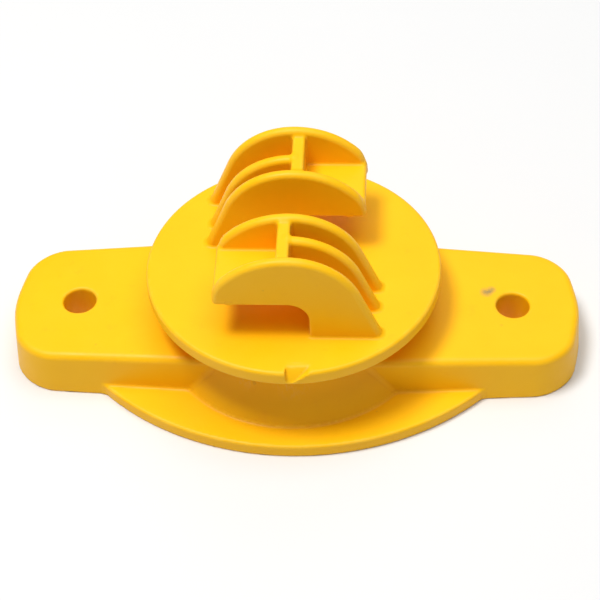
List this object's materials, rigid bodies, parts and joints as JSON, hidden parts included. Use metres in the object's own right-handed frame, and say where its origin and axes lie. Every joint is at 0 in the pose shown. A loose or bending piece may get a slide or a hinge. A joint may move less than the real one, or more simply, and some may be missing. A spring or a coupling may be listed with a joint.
{
  "type": "fence insulator",
  "caption": "Nail-on plastic fence insulator: a flanged base carries a shed disc with opposed hooked claws that hold electric fence wire.",
  "frame": {"origin": "centre of the face that lies against the post", "axes": "+X along the base towards the right nail hole, +Y across the base towards the rear claw, +Z away from the post"},
  "size_m": [0.0904, 0.05, 0.032],
  "materials": {
    "yellow_plastic": "smooth satin, as moulded"
  },
  "bodies": {
    "root": {"right_ear": "yellow_plastic", "left_ear": "yellow_plastic", "right_nail_boss": "yellow_plastic", "left_nail_boss": "yellow_plastic", "right_ear_rib": "yellow_plastic", "left_ear_rib": "yellow_plastic", "front_flange": "yellow_plastic", "rear_flange": "yellow_plastic", "neck": "yellow_plastic", "neck_rib": "yellow_plastic", "shed_disc": "yellow_plastic", "front_claw_hook": "yellow_plastic", "front_claw_outer_plate": "yellow_plastic", "front_claw_inner_plate": "yellow_plastic", "front_claw_middle_plate": "yellow_plastic", "front_claw_web": "yellow_plastic", "rear_claw_hook": "yellow_plastic", "rear_claw_outer_plate": "yellow_plastic", "rear_claw_inner_plate": "yellow_plastic", "rear_claw_middle_plate": "yellow_plastic", "rear_claw_web": "yellow_plastic"}
  },
  "joints": []
}
